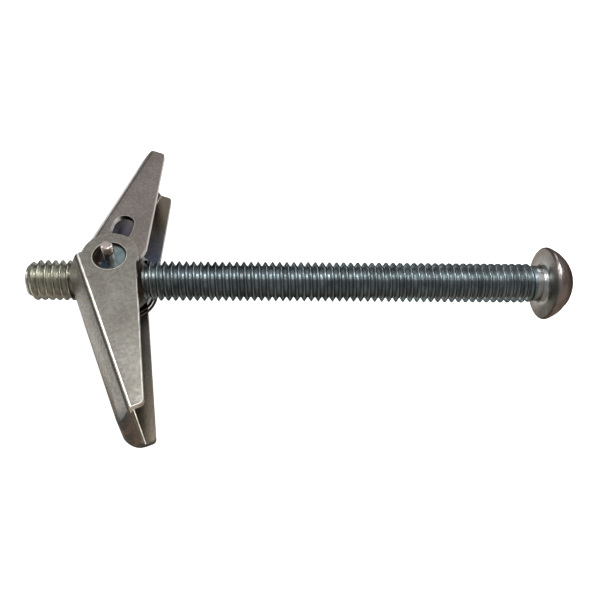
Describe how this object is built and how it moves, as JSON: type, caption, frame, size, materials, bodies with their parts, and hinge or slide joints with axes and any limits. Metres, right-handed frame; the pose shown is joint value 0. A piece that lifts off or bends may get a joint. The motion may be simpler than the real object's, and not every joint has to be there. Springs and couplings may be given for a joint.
{
  "type": "spring toggle bolt",
  "caption": "Slotted round-head machine screw with a trunnion nut and two spring-loaded folding wings, for fastening to hollow walls.",
  "frame": {"origin": "centre of the screw's threaded end face", "axes": "+X along the screw from its threaded end to its head, +Z along the wings' hinge axis, -Y towards the outer wing"},
  "size_m": [0.1072, 0.0629, 0.0222],
  "materials": {
    "screw_zinc": "bright zinc-plated steel, rolled thread",
    "nut_zinc": "bright zinc-plated cold-formed steel",
    "wing_zinc": "bright zinc-plated stamped sheet steel",
    "spring_steel": "dull zinc-plated spring wire"
  },
  "bodies": {
    "screw": {"machine_screw": "screw_zinc"},
    "nut": {"trunnion_nut": "nut_zinc", "torsion_spring": "spring_steel"},
    "front": {"front_wing": "wing_zinc"},
    "rear": {"rear_wing": "wing_zinc"}
  },
  "joints": [
    {"name": "nut_travel", "type": "slide", "parent": "screw", "child": "nut", "axis": [1, 0, 0], "range_m": [-0.0115, 0.05]},
    {"name": "front_fold", "type": "hinge", "parent": "nut", "child": "front", "pos_m": [0.01675, 0, 0], "axis": [0, 0, 1], "range_deg": [0, 67.5], "stiffness_Nm_per_rad": 0.01, "springref_deg": -57.3, "deforming": ["torsion_spring"]},
    {"name": "rear_fold", "type": "hinge", "parent": "nut", "child": "rear", "pos_m": [0.01675, 0, 0], "axis": [0, 0, -1], "range_deg": [0, 69.5], "stiffness_Nm_per_rad": 0.01, "springref_deg": -57.3, "deforming": ["torsion_spring"]}
  ]
}
